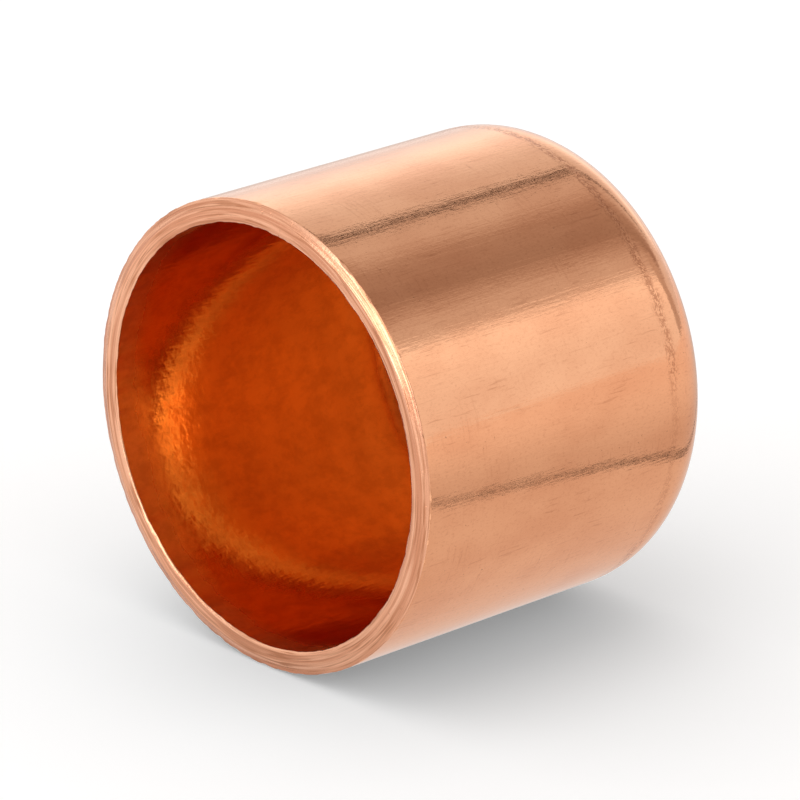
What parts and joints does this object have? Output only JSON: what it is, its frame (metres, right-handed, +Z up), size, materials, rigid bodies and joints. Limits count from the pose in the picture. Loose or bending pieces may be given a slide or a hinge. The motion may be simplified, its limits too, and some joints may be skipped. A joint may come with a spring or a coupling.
{
  "type": "pipe cap",
  "caption": "Copper tube end cap: a short drawn cup with a rounded closed end and a plain socket that is pushed over the end of a copper tube and soldered.",
  "frame": {"origin": "centre of the socket's mouth, on the tube axis, in the plane of the rim", "axes": "+Y along the tube axis from the mouth to the closed end, +Z up with the cap lying on its side, +X to the right as seen looking into the closed end from the mouth"},
  "size_m": [0.0176, 0.0149, 0.0176],
  "materials": {
    "copper": "satin"
  },
  "bodies": {
    "root": {"cap_shell": "copper"}
  },
  "joints": []
}
